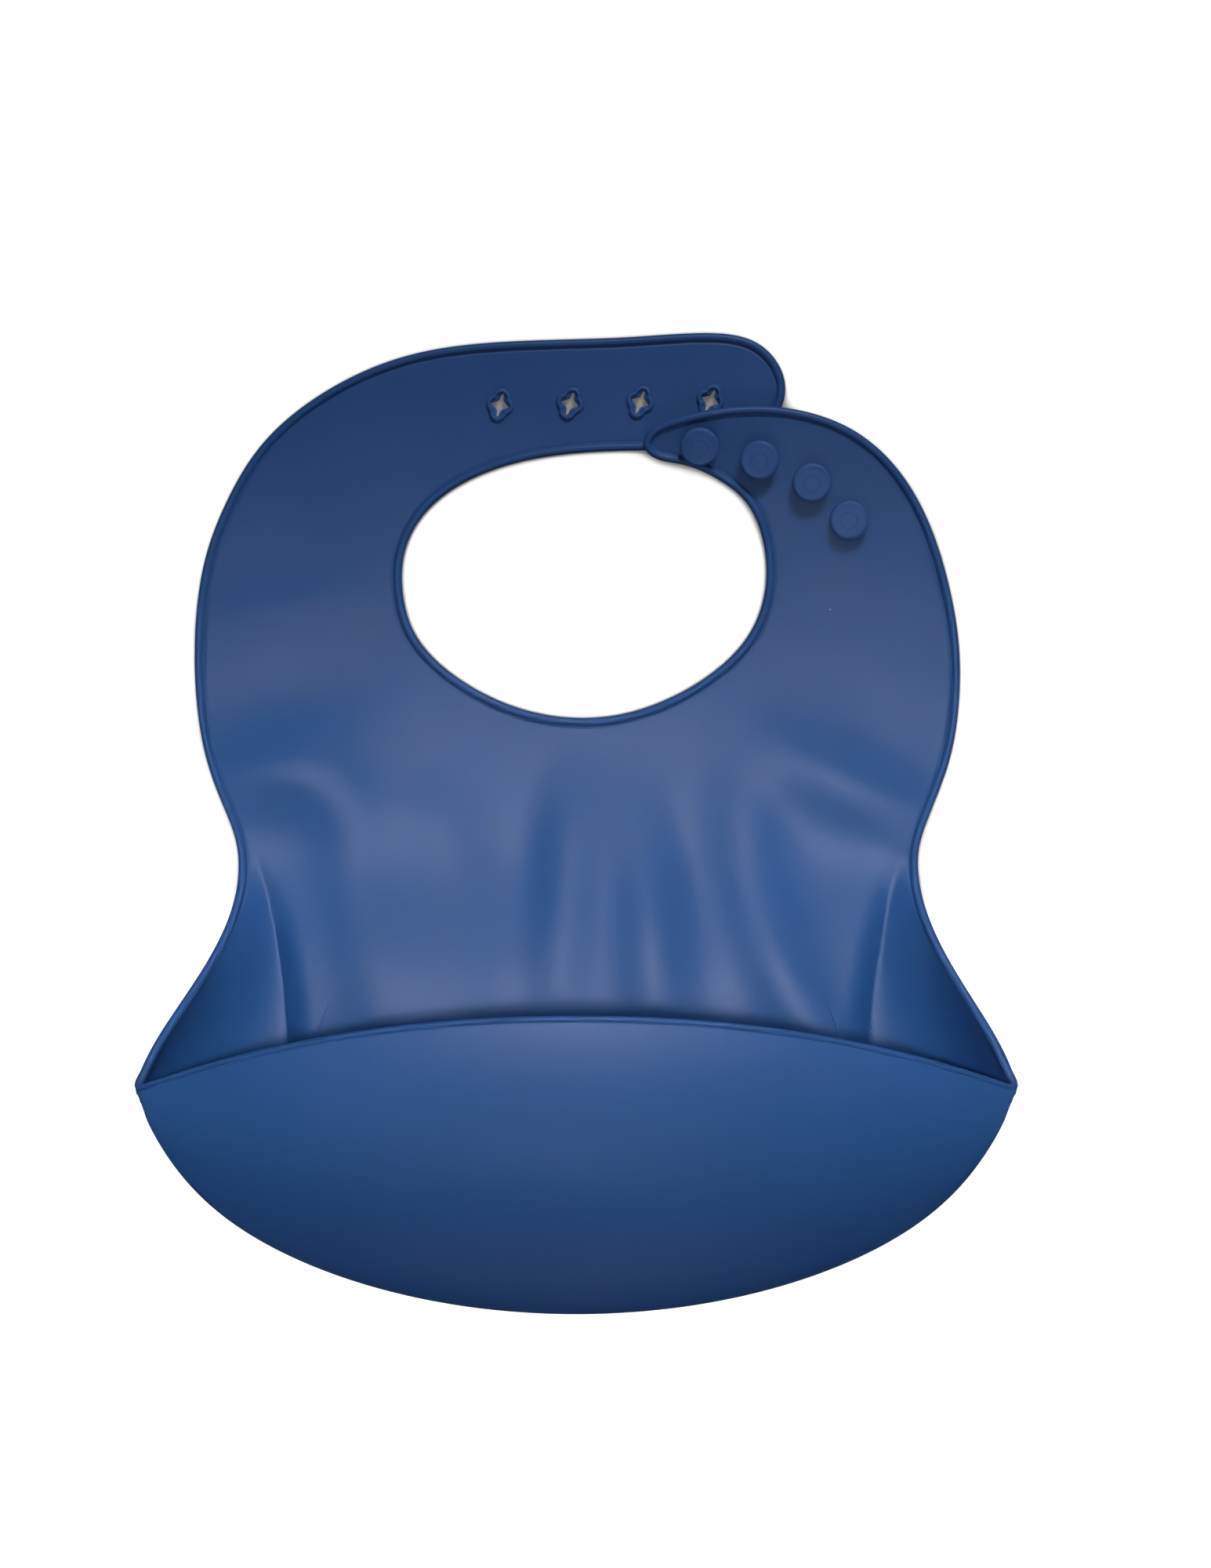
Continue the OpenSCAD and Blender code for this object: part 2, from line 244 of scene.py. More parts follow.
def lower_skin(u, v):
    """From the flat back (v = 0) out and up to the outline (v = 1)."""
    a, b = floor_edge(u), outline(u)
    full = 1 - climb(u)
    out = ((1 - full) * v + full * np.sin(np.pi / 2 * v))[:, None]
    straight = np.sqrt(v * v + CREASE_ROUND**2) - CREASE_ROUND
    straight = straight / (np.sqrt(1 + CREASE_ROUND**2) - CREASE_ROUND)
    points = a * (1 - out) + b * out
    points[:, 2] = b[2] * ((1 - full) * straight + full * (1 - np.cos(np.pi / 2 * v)))
    return points


def upper_skin(u, t):
    """From the outline (t = 0) over the front to the rim (t = 1)."""
    a, b = outline(u), rim(u)
    left = np.cos(np.pi / 2 * t)
    rise = np.maximum(1 - left**2, 0)
    dome = DOME_ROUND * np.sqrt(rise) + (1 - DOME_ROUND) * rise
    points = a * left[:, None] + b * (1 - left[:, None])
    points[:, 2] = a[2] + (b[2] - a[2]) * dome
    return points


# ---------------------------------------------------------------- waves in the flat part


def crease_at(y):
    """Distance of the wing's crease from the middle, at a height on the bib."""
    c = np.clip((y - CORNER_Y) / (WAIST_Y - CORNER_Y), 0, 1)
    return CREASE_X + CREASE_FLARE * c**2


def waves(x, y):
    """How far the soft sheet stands off the table, at rest."""
    inside = np.clip((crease_at(y) - np.abs(x)) / CREASE_STRIP, 0, 1)
    z = CREASE_DEPTH * (1 - (1 - inside) ** 2.2) * smooth_step((-4 - y) / 44)
    z = z * smooth_step((y + 106) / 26)
    below = smooth_step((24 - y) / 30) * smooth_step((y + 90) / 40)
    z += below * 2.6 * bell(x + 3 - 0.08 * (y + 20), 0, 9) * bell(y, -14, 34)
    z += below * 3.0 * bell(x - 18 + 0.1 * (y + 20), 0, 10) * bell(y, -26, 34)
    z += below * 1.5 * bell(x + 0.05 * y, -37, 12)
    z += below * 2.4 * bell(x - 0.0045 * (y - 8) ** 2, 44, 10)
    z += below * 2.0 * bell(x + 0.2 * y, -62, 11)
    z += 3.0 * bell(y - 0.30 * x, 38, 12) * bell(x, -78, 26)
    z += 1.6 * bell(y + 0.34 * x, -14, 11) * bell(x, -66, 26)
    z += 2.8 * bell(y + 0.42 * x, 40, 11) * bell(x, 72, 26)
    z += 1.2 * bell(y - 0.1 * x, 64, 9) * bell(np.abs(x), 78, 22)
    return z


def drape(x, y):
    """How far the button strap lies above the table."""
    slope = np.tan(np.radians(5.6))
    ramp = slope * np.maximum(y - LIFT_Y, 0) * smooth_step((y - LIFT_Y) / 8)
    roll = np.tan(np.radians(9)) * (y - 102) * smooth_step((62 - x) / 30)
    return ramp + roll * smooth_step((y - 80) / 12)


# ---------------------------------------------------------------- the skin as one grid

edge_curve = spline(FREE_EDGE)


def station_table():
    """One row per spoke: its place on the neck, its place on the outer edge, and its
    pocket station where it ends on the pocket (otherwise nan)."""
    left_outer, left_neck = np.array(LEFT_PAIRS).T
    right_outer, right_neck = np.array(RIGHT_PAIRS).T
    station, pocket_neck = np.array(POCKET_PAIRS).T
    rows = []
    for place in even_places(edge_curve, HOLE_TIP, 0, STRAP_SPOKES):
        rows.append((np.interp(-place, -left_outer, left_neck), place, np.nan))
    stations = np.concatenate([
        np.linspace(-2, -1, WING_SPOKES)[1:],
        np.linspace(-1, 1, RIM_SPOKES + 1)[1:],
        np.linspace(1, 2, WING_SPOKES)[1:-1],
    ])
    for u in stations:
        rows.append((np.interp(u, station, pocket_neck), np.nan, u))
    for place in even_places(edge_curve, RIGHT_WAIST, BUTTON_TIP, SHOULDER_SPOKES):
        rows.append((np.interp(-place, -right_outer, right_neck), place, np.nan))
    return np.array(rows)


def smooth_rows(values, passes):
    """Evens out the spacing of the neck places without moving the ends."""
    values = values.copy()
    for _ in range(passes):
        values[1:-1] = (values[:-2] + 2 * values[1:-1] + values[2:]) / 4
    return values


table = station_table()
neck_place = smooth_rows(table[:, 0], 60)
COUNT = len(table)
on_pocket = ~np.isnan(table[:, 2])


def outer_points():
    points = np.zeros((COUNT, 3))
    for i, (_, place, u) in enumerate(table):
        if np.isnan(u):
            points[i, :2] = edge_curve(place)[0]
        else:
            points[i] = rim(u) if abs(u) <= 1 else outline(u)
    return points


neck_points = np.zeros((COUNT, 3))
neck_points[:, :2] = edge_curve(neck_place)
edge_points = outer_points()


SHEET_SAMPLES = 60
SKIN_SAMPLES = 49


def straight_path(i):
    """Dense points of a spoke that ends on a side edge or along a strap."""
    start, end = neck_points[i], edge_points[i]
    length = np.linalg.norm(end - start)
    near = end + (start - end) * min(5.2 / max(length, 1e-6), 1)
    beside = end + np.array([-np.sign(end[0]) * 5.2, 0, 0])
    share = 1 - smooth_step((end[1] - WAIST_Y) / 30)
    knee = near * (1 - share) + beside * share if abs(end[0]) > 60 else near
    t = np.linspace(0, 1, SHEET_SAMPLES)[:, None]
    s = np.linspace(0, 1, 12)[1:, None]
    return np.vstack([start + (knee - start) * t, knee + (end - knee) * s])


def pocket_path(i):
    u = table[i, 2]
    start, knee = neck_points[i], floor_edge(u)
    t = np.linspace(0, 1, SHEET_SAMPLES)[:, None]
    v = np.linspace(0, 1, SKIN_SAMPLES + 1)[1:]
    parts = [start + (knee - start) * t, lower_skin(u, v)]
    if abs(u) < 1:
        parts.append(upper_skin(u, v))
    return np.vstack(parts)


def along(path, count, cut_start, cut_end, turn_at, closeness):
    """count points along a path, leaving out a length at each end and closer together where
    the path turns over the outline."""
    steps = np.linalg.norm(np.diff(path, axis=0), axis=1)
    length = np.concatenate([[0], np.cumsum(steps)])
    near_turn = closeness * bell(length, length[turn_at], 5)
    measure = np.concatenate([[0], np.cumsum(steps * (1 + (near_turn[1:] + near_turn[:-1]) / 2))])
    first, final = np.interp([cut_start, length[-1] - cut_end], length, measure)
    where = np.interp(np.linspace(first, final, count), measure, length)
    return np.stack([np.interp(where, length, path[:, k]) for k in range(3)], 1)


def further(path, distance):
    """The point of a path that far from its start."""
    length = np.concatenate([[0], np.cumsum(np.linalg.norm(np.diff(path, axis=0), axis=1))])
    return np.array([np.interp(distance, length, path[:, k]) for k in range(3)])


# The bead is thinner along the rim of the pocket, and there it stands out on the outside
rim_share = np.zeros(COUNT)
rim_share[on_pocket] = smooth_step((1.04 - np.abs(table[on_pocket, 2])) / 0.1)
INSET = 1.35
GROOVE = 0.22


def height(points, i):
    """Adds the waves, the drape of the button strap and a slight lean of the waist to the
    right to points of spoke i."""
    x, y = points[:, 0], points[:, 1]
    flat = 1 - smooth_step((points[:, 2] - 0.5) / 9)
    lift = waves(x, y) * flat
    if i > COUNT - SHOULDER_SPOKES:
        lift = lift * (1 - smooth_step((y - LIFT_Y) / 15)) + drape(x, y)
    points = points.copy()
    points[:, 0] += 0.8 * bell(y, -30, 35)
    points[:, 2] += lift
    return points


def bead_width(share):
    """Width of the bead, where share is 1 along the rim and 0 elsewhere."""
    return BEAD_W - 0.75 * share


def bead_profile(share):
    """The section of the free edge, from the front face round to the back face, as rows of
    (distance from the edge, height over the back face)."""
    w, low = bead_width(share), -0.5 * share
    high = BEAD_TOP - (BEAD_TOP - SHEET_T - 0.1) * share
    middle, half = (low + high) / 2, (high - low) / 2
    top = np.pi - np.arcsin(np.clip((SHEET_T - middle) / half, -1, 1)) - 0.05
    bottom = np.pi - np.arcsin(np.clip(middle / half, -1, 1))
    angles = np.concatenate([np.linspace(top, 0, 9), np.linspace(0, -bottom, 8)[1:]])
    ring = np.stack([w / 2 * (1 - np.cos(angles)), middle + half * np.sin(angles)], 1)
    groove = GROOVE * np.array([0, 0.35, 1])
    reach = np.array([INSET, 1.2, 1.07]) * w
    front = np.stack([reach, SHEET_T - groove], 1)
    back = np.stack([reach, groove * share], 1)[::-1]
    return np.vstack([front, ring, back])


def build_skin():
    """The whole bib as one closed skin: vertices, faces and what each face belongs to."""
    last = COUNT - 1
    paths = [
        height(pocket_path(i) if on_pocket[i] else straight_path(i), i) for i in range(COUNT)
    ]
    inner = np.array([p[0] for p in paths])
    outer = np.array([p[-1] for p in paths])
    spoke_of = list(range(last + 1)) + list(range(last - 1, 0, -1))
    loop = np.vstack([inner, outer[last - 1 : 0 : -1]])
    corners = [2 * last - i for i in range(COUNT) if on_pocket[i] and abs(table[i, 2]) == 1]
    # The free edge turns sharply at the two corners, so it is eased there
    near_corner = np.zeros(len(loop))
    for k in corners:
        near_corner[k - 9 : k + 10] = np.sin(np.linspace(0, np.pi, 21)[1:-1])
    near_corner = near_corner[:, None]

    def ease(rows, passes, share):
        for _ in range(passes):
            mean = (np.roll(rows, 1, 0) + np.roll(rows, -1, 0)) / 2
            rows = rows + (mean - rows) * share
        return rows

    loop = ease(loop, 8, 0.6 * near_corner)
    tangent = unit(np.roll(loop, -1, 0) - np.roll(loop, 1, 0))
    into = np.zeros_like(loop)
    for k, i in enumerate(spoke_of):
        path = paths[i]
        near, far = (path[0], path[4]) if k <= last else (path[-1], path[-5])
        into[k] = unit(far - near)
    for k in (0, last):
        into[k] = unit(np.roll(loop, -1, 0)[k] + np.roll(loop, 1, 0)[k] - 2 * loop[k])
    normal = unit(np.cross(into, tangent))
    normal = unit(ease(ease(normal, 3, 0.5), 14, 0.8 * near_corner))
    across = unit(np.cross(tangent, normal))

    profiles = np.array([
        bead_profile(rim_share[i] if k > last else 0) for k, i in enumerate(spoke_of)
    ])
    ring = (
        loop[:, None]
        + across[:, None] * profiles[:, :, :1]
        + normal[:, None] * profiles[:, :, 1:]
    )

    # the back face: spokes between the two insets, nudged to meet the bead exactly
    back = np.zeros((COUNT, CROSS_STEPS + 1, 3))
    share = np.linspace(0, 1, CROSS_STEPS + 1)[:, None]
    for i in range(1, last):
        k_out = 2 * last - i
        slant = [
            max(float(np.dot(unit(further(paths[i], 4) - paths[i][0]), across[i])), 0.35),
            max(float(np.dot(unit(further(paths[i][::-1], 4) - paths[i][-1]), across[k_out])), 0.35),
        ]
        u = abs(table[i, 2]) if on_pocket[i] else 2
        turn_at = SHEET_SAMPLES + SKIN_SAMPLES - 1 if u < 1 else -1
        points = along(
            paths[i], CROSS_STEPS + 1, INSET * BEAD_W / slant[0],
            INSET * bead_width(rim_share[i]) / slant[1], turn_at,
            6 * smooth_step((1.3 - u) / 0.3),
        )
        from_end = np.linalg.norm(points - points[-1], axis=1)[:, None]
        length = np.linalg.norm(paths[i][-1] - paths[i][0])
        sharpness = 1 + 4 * smooth_step((length - 20) / 25)
        near_end = smooth_step(1 - from_end / 9) * (share > 0.5) if on_pocket[i] else share**sharpness
        points += (ring[i, -1] - points[0]) * (1 - share) ** sharpness
        points += (ring[k_out, -1] - points[-1]) * near_end
        back[i] = points
    du = np.zeros_like(back)
    du[2:-2] = back[3:-1] - back[1:-3]
    du[1], du[-2] = back[2] - back[1], back[-2] - back[-3]
    dv = np.zeros_like(back)
    dv[:, 1:-1] = back[:, 2:] - back[:, :-2]
    dv[:, 0], dv[:, -1] = back[:, 1] - back[:, 0], back[:, -1] - back[:, -2]
    face_normal = unit(np.cross(dv, du))
    flipped = ~on_pocket[:, None] & (face_normal[:, :, 2] < 0.5)
    face_normal[flipped] = (0, 0, 1)
    front = back + face_normal * SHEET_T
    for i in range(1, last):
        k_out = 2 * last - i
        front[i, 0], front[i, -1] = ring[i, 0], ring[k_out, 0]
    return back, front, ring


back, front, ring = build_skin()


# ---------------------------------------------------------------- the skin cut into pieces


def outline_step(i):
    """The step of a pocket spoke at which it passes the outline, on to the front."""
    if not (on_pocket[i] and abs(table[i, 2]) < 1):
        return CROSS_STEPS + 1
    rows = back[i]
    widest = outline(table[i, 2])
    beyond = np.linalg.norm(rows - widest, axis=1)
    beyond[rows[:, 2] < 0.4 * widest[2]] = 1e9
    return int(np.argmin(beyond))


MIDDLE = int(np.argmin(np.where(on_pocket, np.abs(table[:, 2]), 9)))
steps_to_front = np.array([outline_step(i) for i in range(COUNT)])
APRON, YOKE, HOLE_STRAP, BUTTON_STRAP, FRONT_LEFT, FRONT_RIGHT = range(6)
APRON_TOP = 18.0
YOKE_TOP = 64.0


def owner(i, j):
    """Which piece the cell between spokes i, i + 1 and steps j, j + 1 belongs to."""
    i = min(max(i, 1), COUNT - 3)
    if min(steps_to_front[i], steps_to_front[i + 1]) <= j:
        return FRONT_LEFT if i < MIDDLE else FRONT_RIGHT
    y = (back[i, j, 1] + back[i + 1, j + 1, 1]) / 2
    if y < APRON_TOP:
        return APRON
    if y < YOKE_TOP:
        return YOKE
    return HOLE_STRAP if i < MIDDLE else BUTTON_STRAP


def skin_faces():
    """Vertices of the whole skin, its faces, the piece of each face, and the caps that
    close each piece where it meets the next."""
    last = COUNT - 1
    rows, steps = COUNT, CROSS_STEPS + 1
    ring_count, profile_count = ring.shape[:2]
    vertices = [ring.reshape(-1, 3), back.reshape(-1, 3), front.reshape(-1, 3)]
    back_start = ring_count * profile_count
    front_start = back_start + rows * steps

    def ring_id(k, p):
        return (k % ring_count) * profile_count + p

    def grid_id(i, j, upper):
        k = i if j == 0 else 2 * last - i
        if j in (0, CROSS_STEPS):
            return ring_id(k, 0 if upper else profile_count - 1)
        return (front_start if upper else back_start) + i * steps + j

    def tip_id(k, upper):
        return ring_id(k, 0 if upper else profile_count - 1)

    faces, owners, caps = [], [], []

    def add(face, piece):
        faces.append(face)
        owners.append(piece)

    cell = {}
    for i in range(1, last - 1):
        for j in range(CROSS_STEPS):
            piece = cell[i, j] = owner(i, j)
            for upper in (False, True):
                corners = [
                    grid_id(i, j, upper), grid_id(i + 1, j, upper),
                    grid_id(i + 1, j + 1, upper), grid_id(i, j + 1, upper),
                ]
                add(corners if not upper else corners[::-1], piece)
    for tip, i, turned in ((0, 1, False), (last, last - 1, True)):
        piece = owner(i, 0)
        for j in range(CROSS_STEPS):
            for upper in (False, True):
                corners = [tip_id(tip, upper), grid_id(i, j, upper), grid_id(i, j + 1, upper)]
                add(corners[::-1] if upper != turned else corners, piece)

    def ring_owner(k):
        k %= ring_count
        on_neck = k < last
        i = k if on_neck else 2 * last - k - 1
        return owner(i, 0 if on_neck else CROSS_STEPS - 1)

    for k in range(ring_count):
        piece = ring_owner(k)
        for p in range(profile_count - 1):
            add(
                [ring_id(k, p), ring_id(k + 1, p), ring_id(k + 1, p + 1), ring_id(k, p + 1)],
                piece,
            )
        before = ring_owner(k - 1)
        if before != piece:
            section = [ring_id(k, p) for p in range(profile_count)]
            caps.append((section, piece))
            caps.append((section[::-1], before))
    for (i, j), piece in cell.items():
        far = (i + 1, j + 1)
        neighbours = [((i, j + 1), (i, j + 1), far), ((i + 1, j), far, (i + 1, j))]
        for beside, a, b in neighbours:
            other = cell.get(beside)
            if other is None or other == piece:
                continue
            wall = [
                grid_id(*a, False), grid_id(*b, False), grid_id(*b, True), grid_id(*a, True),
            ]
            caps.append((wall, piece))
            caps.append((wall[::-1], other))
    return np.vstack(vertices), faces, owners, caps


vertices, faces, owners, caps = skin_faces()


def vertex_normals(points, polygons):
    """Normals of a mesh of triangles and quads, weighted by the area of each polygon."""
    normals = np.zeros_like(points)
    for size in (3, 4):
        chosen = np.array([f for f in polygons if len(f) == size])
        if not len(chosen):
            continue
        a, b, c = points[chosen[:, 0]], points[chosen[:, 1]], points[chosen[:, 2]]
        d = points[chosen[:, -1]]
        area = np.cross(c - a, d - b) if size == 4 else np.cross(b - a, c - a)
        for corner in range(size):
            np.add.at(normals, chosen[:, corner], area)
    return unit(normals)


skin_normals = vertex_normals(vertices, faces)


def link(name, points, polygons):
    """A smooth mesh object from points in millimetres."""
    mesh = bpy.data.meshes.new(name)
    mesh.from_pydata((np.asarray(points) * MM).tolist(), [], polygons)
    mesh.polygons.foreach_set("use_smooth", [True] * len(mesh.polygons))
    obj = bpy.data.objects.new(name, mesh)
    bpy.context.scene.collection.objects.link(obj)
    return obj


def keep_place(obj):
    """Stores each point's place at rest, so that the material doesn't slide in a pose."""
    mesh = obj.data
    co = np.zeros(len(mesh.vertices) * 3, np.float32)
    mesh.vertices.foreach_get("co", co)
    if obj.parent is None:
        place = co.reshape(-1, 3) @ np.array(obj.matrix_world.to_3x3()).T
        co = (place + np.array(obj.matrix_world.translation)).astype(np.float32).ravel()
    mesh.attributes.new("place", "FLOAT_VECTOR", "POINT").data.foreach_set("vector", co)


def make_piece(name, piece):
    """One closed piece of the skin, shaded as part of the whole."""
    own = [f for f, o in zip(faces, owners) if o == piece]
    own_caps = [f for f, o in caps if o == piece]
    used = sorted({v for f in own + own_caps for v in f})
    place = {v: n for n, v in enumerate(used)}
    obj = link(name, vertices[used], [[place[v] for v in f] for f in own + own_caps])
    loops = [tuple(skin_normals[v]) for f in own for v in f]
    for f in own_caps:
        p = vertices[f]
        loops += [tuple(unit(np.cross(p[1] - p[0], p[2] - p[0])))] * len(f)
    obj.data.normals_split_custom_set(loops)
    return obj


# ---------------------------------------------------------------- holes and their rims

HOLE_L, HOLE_W = 6.5, 5.0
HOLE_TURNS = [-14, -17, -20, -23]
ROUND = np.linspace(0, 2 * np.pi, 96, endpoint=False)


def star_radius(a):
    """Half width of the four-pointed hole in direction a."""
    body = (np.abs(np.cos(a) / (HOLE_W / 2)) + np.abs(np.sin(a) / 1.75)) ** -1.0
    arm = ((np.cos(a) / 0.55) ** 2 + (np.sin(a) / (HOLE_L / 2)) ** 2) ** -0.5
    return (body**8 + arm**8) ** (1 / 8)


def quatrefoil_radius(a):
    """Half width of the four-lobed rim in direction a."""
    radius = np.full_like(a, 2.6)
    for k in range(4):
        reach = (HOLE_W if k % 2 == 0 else HOLE_L) / 2 - 1
        turned = a - k * np.pi / 2
        root = 2.3**2 - (reach * np.sin(turned)) ** 2
        radius = np.maximum(radius, reach * np.cos(turned) + np.sqrt(np.maximum(root, 0)))
    for _ in range(2):
        radius = (np.roll(radius, 1) + 2 * radius + np.roll(radius, -1)) / 4
    return radius


def hole_place(k):
    low, high = cad_box(f"hole_rim_{k + 1}")
    return (low + high)[:2] / 2, np.radians(HOLE_TURNS[k])


def around(radii, turned, centre):
    a = ROUND + turned
    return np.stack([centre[0] + radii * np.cos(a), centre[1] + radii * np.sin(a)], 1)


def sheet_height(x, y, on_buttons=False):
    """Height of the front face of the sheet near a point, and its normal, on the button
    strap or else on the sheet below it."""
    gap = np.linalg.norm(front_points[:, :2] - (x, y), axis=1)
    if y > YOKE_TOP:
        on_button_strap = front_spokes > COUNT - SHOULDER_SPOKES
        gap = np.where(on_button_strap == on_buttons, gap, 1e9)
    near = np.argsort(gap)[:6]
    weight = 1 / (gap[near] + 0.1)
    point = (front_points[near] * weight[:, None]).sum(0) / weight.sum()
    normal = unit((front_normals[near] * weight[:, None]).sum(0))
    height_here = point[2] - ((x - point[0]) * normal[0] + (y - point[1]) * normal[1]) / normal[2]
    return height_here, normal


def tube_faces(rings, segments, closed=False):
    """Quads between consecutive rings of points."""
    quads = []
    for r in range(rings if closed else rings - 1):
        a, b = r * segments, (r + 1) % rings * segments
        for k in range(segments):
            n = (k + 1) % segments
            quads.append([a + k, a + n, b + n, b + k])
    return quads


def hole_cutter(k):
    centre, turned = hole_place(k)
    flat = around(star_radius(ROUND) + 0.02, turned, centre)
    low = np.column_stack([flat, np.full(len(flat), -6.0)])
    high = np.column_stack([flat, np.full(len(flat), 20.0)])
    polygons = tube_faces(2, len(flat))
    polygons += [list(range(len(flat)))[::-1], list(range(len(flat), 2 * len(flat)))]
    return link(f"cutter_{k}", np.vstack([low, high]), polygons)


def cut_holes(obj):
    """Cuts the star holes and gives the cut sheet the shading of the uncut one."""
    mesh = obj.data
    trees = []
    corner_normals = np.zeros(len(mesh.loops) * 3, np.float32)
    mesh.corner_normals.foreach_get("vector", corner_normals)
    corner_normals = corner_normals.reshape(-1, 3)
    loop_vertex = np.zeros(len(mesh.loops), int)
    mesh.loops.foreach_get("vertex_index", loop_vertex)
    co = np.array([v.co for v in mesh.vertices])
    upwards = corner_normals[:, 2]
    sides = [upwards > 0.02, upwards < -0.02, np.ones(len(loop_vertex), bool)]
    for chosen in sides:
        loops = np.flatnonzero(chosen)
        tree = kdtree.KDTree(len(loops))
        for loop in loops:
            tree.insert(co[loop_vertex[loop]], int(loop))
        tree.balance()
        trees.append(tree)
    for k in range(4):
        cutter = hole_cutter(k)
        tool = obj.modifiers.new("hole", "BOOLEAN")
        tool.operation, tool.solver, tool.object = "DIFFERENCE", "EXACT", cutter
        depsgraph = bpy.context.evaluated_depsgraph_get()
        cut = bpy.data.meshes.new_from_object(obj.evaluated_get(depsgraph))
        obj.modifiers.clear()
        obj.data = cut
        bpy.data.objects.remove(cutter)
    mesh = obj.data
    # The walls of the holes keep their own normals, and every other corner takes the
    # nearest normal of the uncut sheet that agrees with its face
    centres = [hole_place(k)[0] for k in range(4)]
    loops = []
    for face in mesh.polygons:
        n = np.array(face.normal)
        middle = np.array(face.center)[:2] / MM
        by_hole = min(np.linalg.norm(middle - c) for c in centres) < HOLE_L / 2 + 0.75
        for v in face.vertices:
            if by_hole and abs(n[2]) < 0.5:
                loops.append(tuple(n))
                continue
            tree = trees[0] if n[2] > 0.1 else trees[1] if n[2] < -0.1 else trees[2]
            best, agreement = n, -2.0
            for _, loop, gap in tree.find_n(mesh.vertices[v].co, 4):
                match = float(corner_normals[loop] @ n) - 400 * gap
                if match > agreement:
                    best, agreement = corner_normals[loop], match
            loops.append(tuple(float(c) for c in best))
    mesh.polygons.foreach_set("use_smooth", [True] * len(mesh.polygons))
    mesh.normals_split_custom_set(loops)


def hole_rim(k):
    """The raised four-lobed rim of a strap hole, down to the back of the sheet."""
    centre, turned = hole_place(k)
    out, star = quatrefoil_radius(ROUND), star_radius(ROUND)
    bead = [
        (0, -0.2), (0, 0.15), (0.06, 0.48), (0.22, 0.8), (0.46, 1.0), (0.72, 1.06),
        (0.98, 0.98), (1.18, 0.78), (1.3, 0.5), (1.36, 0.3),
    ]
    rows = [(out - d, h) for d, h in bead]
    inner = np.minimum(star + 0.14, out - 1.38)
    rows += [
        (inner, 0.31), (star + 0.05, 0.27), (star + 0.01, 0.18), (star, 0.05),
        (star, -SHEET_T * 0.5), (star, -SHEET_T + 0.02), (star + 0.3, -SHEET_T + 0.02),
        (star + 0.3, -0.4), (out - 0.5, -0.3),
    ]
    base, _ = sheet_height(*centre)
    points = []
    for radii, h in rows:
        flat = around(radii, turned, centre)
        points.append(np.column_stack([flat, np.full(len(flat), base + h)]))
    polygons = [f[::-1] for f in tube_faces(len(rows), len(ROUND), closed=True)]
    return link(f"hole_rim_{k + 1}_moulded", np.vstack(points), polygons)


# ---------------------------------------------------------------- buttons

BUTTON_SEGMENTS = 72
# Height over the strap of the middle of a button, which is where its CAD box has its middle
BUTTON_MIDDLE = 3.1
# Section of a button, as radius and height over the strap, from the middle of the underside
BUTTON_PROFILE = [
    (3.3, -0.3), (3.2, 0), (2.85, 0.12), (2.62, 0.4), (2.5, 0.9), (2.5, 1.5), (2.6, 1.85),
    (2.9, 2.0), (4.3, 2.02), (4.8, 2.1), (5.08, 2.32), (5.2, 2.7), (5.2, 3.2), (5.14, 3.55),
    (4.98, 3.86), (4.72, 4.06), (4.4, 4.15), (4.15, 4.12), (3.9, 4.07), (3.3, 4.08),
    (2.55, 4.11), (2.42, 4.13), (2.32, 4.19), (2.2, 4.21), (2.08, 4.19), (1.98, 4.13),
    (1.85, 4.12), (1.2, 4.14), (0.5, 4.15),
]


def button(k):
    """A mushroom button with a rounded head and a faint ring on top."""
    low, high = cad_box(f"button_{k + 1}")
    x, y = (low + high)[:2] / 2
    base, axis = sheet_height(x, y, on_buttons=True)
    middle = np.array([x, y, base]) - np.array([axis[0], axis[1], 0]) * BUTTON_MIDDLE
    side = unit(np.cross([0, 1, 0], axis))
    up = np.cross(axis, side)
    a = np.linspace(0, 2 * np.pi, BUTTON_SEGMENTS, endpoint=False)[:, None]
    circle = side * np.cos(a) + up * np.sin(a)
    points = [middle + circle * r + axis * h for r, h in BUTTON_PROFILE]
    ends = [middle + axis * BUTTON_PROFILE[-1][1], middle + axis * BUTTON_PROFILE[0][1]]
    points = np.vstack(points + ends)
    count = len(BUTTON_PROFILE)
    polygons = tube_faces(count, BUTTON_SEGMENTS)
    top, bottom = count * BUTTON_SEGMENTS, count * BUTTON_SEGMENTS + 1
    last = (count - 1) * BUTTON_SEGMENTS
    for n in range(BUTTON_SEGMENTS):
        m = (n + 1) % BUTTON_SEGMENTS
        polygons.append([last + n, last + m, top])
        polygons.append([m, n, bottom])
    return link(f"button_{k + 1}_moulded", points, polygons)


front_keep = slice(1, COUNT - 1)
front_points = front[front_keep, 1:-1].reshape(-1, 3)
front_spokes = np.repeat(np.arange(COUNT)[front_keep], CROSS_STEPS - 1)
first_front = len(ring.reshape(-1, 3)) + COUNT * (CROSS_STEPS + 1)
front_normals = skin_normals[first_front:].reshape(COUNT, CROSS_STEPS + 1, 3)
front_normals = front_normals[front_keep, 1:-1].reshape(-1, 3)


# ---------------------------------------------------------------- material


